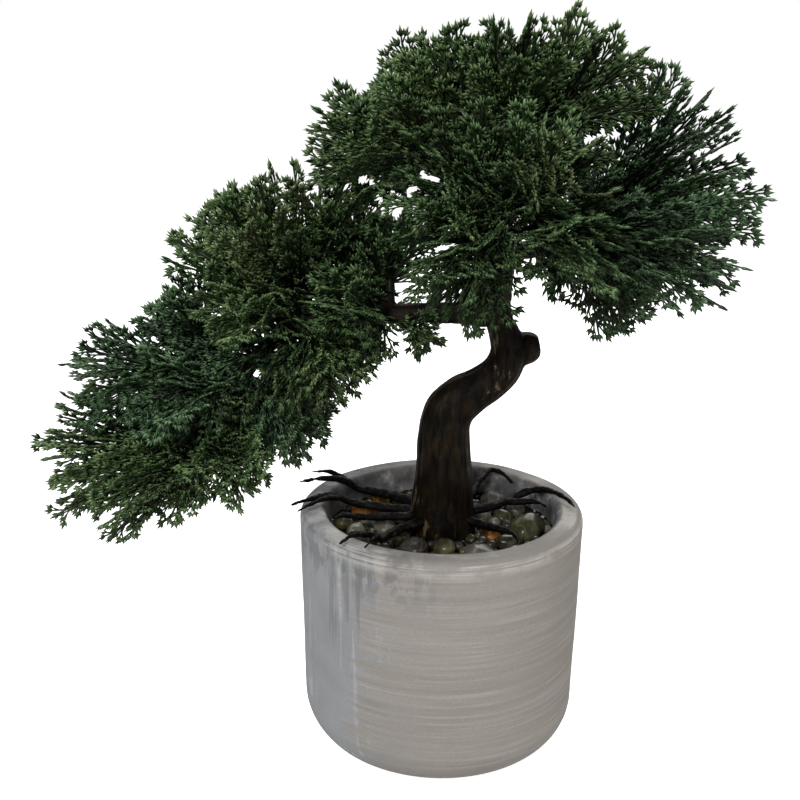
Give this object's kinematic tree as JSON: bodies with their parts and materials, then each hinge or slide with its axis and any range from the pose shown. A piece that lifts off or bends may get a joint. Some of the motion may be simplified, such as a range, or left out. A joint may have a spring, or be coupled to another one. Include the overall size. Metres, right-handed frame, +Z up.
{
  "type": "artificial tabletop tree",
  "caption": "Faux dwarf conifer with an S-bent trunk, a domed crown and a cascading side bough, set in pebbles in a round cement-look pot with a soft foot pad.",
  "frame": {"origin": "middle of the underside of the foot pad, on the table", "axes": "+Z up, +X to the right of the front view (the cascade hangs towards -X), +Y away from the front viewer; the front faces -Y"},
  "size_m": [0.2959, 0.1572, 0.3045],
  "materials": {
    "cement": "matt cement-look, brushed with thin whitewash",
    "pad": "matt soft foam rubber",
    "foam": "rigid open foam",
    "resin": "dark glossy glue",
    "stone_grey": "smooth wet-look pebble",
    "stone_olive": "smooth pebble",
    "stone_pale": "smooth pale pebble",
    "stone_amber": "translucent-looking amber pebble",
    "root_bark": "moulded bark, near black",
    "trunk_bark": "moulded bark, satin dark brown",
    "leader_bark": "moulded bark, olive brown",
    "bough_bark": "moulded bark, dark brown",
    "rod": "plain steel rod",
    "foliage_deep": "satin moulded foliage, deep green",
    "foliage_mid": "satin moulded foliage, green",
    "foliage_blue": "satin moulded foliage, blue green"
  },
  "bodies": {
    "stand": {"foot_pad": "pad", "pot": "cement", "foam_core": "foam", "glue_bed": "resin", "pebbles_grey": "stone_grey", "pebbles_olive": "stone_olive", "pebbles_pale": "stone_pale", "pebbles_amber": "stone_amber", "root_a": "root_bark", "root_b": "root_bark", "root_c": "root_bark", "root_d": "root_bark", "root_e": "root_bark", "root_f": "root_bark", "root_g": "root_bark", "trunk": "trunk_bark", "trunk_rod": "rod"},
    "crown": {"leader": "leader_bark", "spray_top_1": "foliage_mid", "spray_top_2": "foliage_mid", "spray_top_3": "foliage_mid", "spray_top_4": "foliage_mid"},
    "left_bough": {"left_bough": "bough_bark", "spray_near_1": "foliage_deep", "spray_near_2": "foliage_deep", "spray_near_3": "foliage_deep", "infill_near": "foliage_deep", "spray_mid_1": "foliage_mid", "spray_mid_2": "foliage_mid", "spray_mid_3": "foliage_mid", "infill_mid": "foliage_mid", "spray_far_1": "foliage_blue", "spray_far_2": "foliage_blue", "spray_far_3": "foliage_blue", "spray_far_4": "foliage_blue", "infill_far": "foliage_blue", "spray_end_1": "foliage_mid", "spray_end_2": "foliage_mid", "spray_end_3": "foliage_mid", "spray_end_4": "foliage_mid", "infill_end": "foliage_mid"},
    "right_bough": {"right_bough": "bough_bark", "spray_right_1": "foliage_blue", "spray_right_2": "foliage_blue", "spray_right_3": "foliage_blue", "infill_right": "foliage_blue"},
    "front_bough": {"front_bough": "bough_bark", "spray_front_1": "foliage_deep", "spray_front_2": "foliage_deep", "spray_front_3": "foliage_deep", "infill_front": "foliage_deep"},
    "back_bough": {"back_bough": "bough_bark", "spray_back_1": "foliage_deep", "spray_back_2": "foliage_deep", "spray_back_3": "foliage_deep", "spray_back_4": "foliage_deep"},
    "upper_bough": {"upper_bough": "bough_bark", "spray_upper_1": "foliage_mid", "spray_upper_2": "foliage_mid", "spray_upper_3": "foliage_mid"}
  },
  "joints": [
    {"name": "crown_swivel", "type": "hinge", "parent": "stand", "child": "crown", "pos_m": [0.021, 0, 0.2], "axis": [0, 0, 1], "range_deg": [-15, 15]},
    {"name": "left_bough_swivel", "type": "hinge", "parent": "stand", "child": "left_bough", "pos_m": [0.0205, 0, 0.188], "axis": [-1, 0, 0], "range_deg": [-15, 15]},
    {"name": "right_bough_swivel", "type": "hinge", "parent": "crown", "child": "right_bough", "pos_m": [0.0245, 0, 0.214], "axis": [1, 0, 0], "range_deg": [-15, 15]},
    {"name": "front_bough_swivel", "type": "hinge", "parent": "crown", "child": "front_bough", "pos_m": [0.022, -0.003, 0.221], "axis": [0, -1, 0], "range_deg": [-15, 15]},
    {"name": "back_bough_swivel", "type": "hinge", "parent": "crown", "child": "back_bough", "pos_m": [0.0214, 0.003, 0.227], "axis": [0, 1, 0], "range_deg": [-15, 15]},
    {"name": "upper_bough_swivel", "type": "hinge", "parent": "crown", "child": "upper_bough", "pos_m": [0.0185, 0, 0.234], "axis": [-1, 0, 0], "range_deg": [-15, 15]}
  ]
}
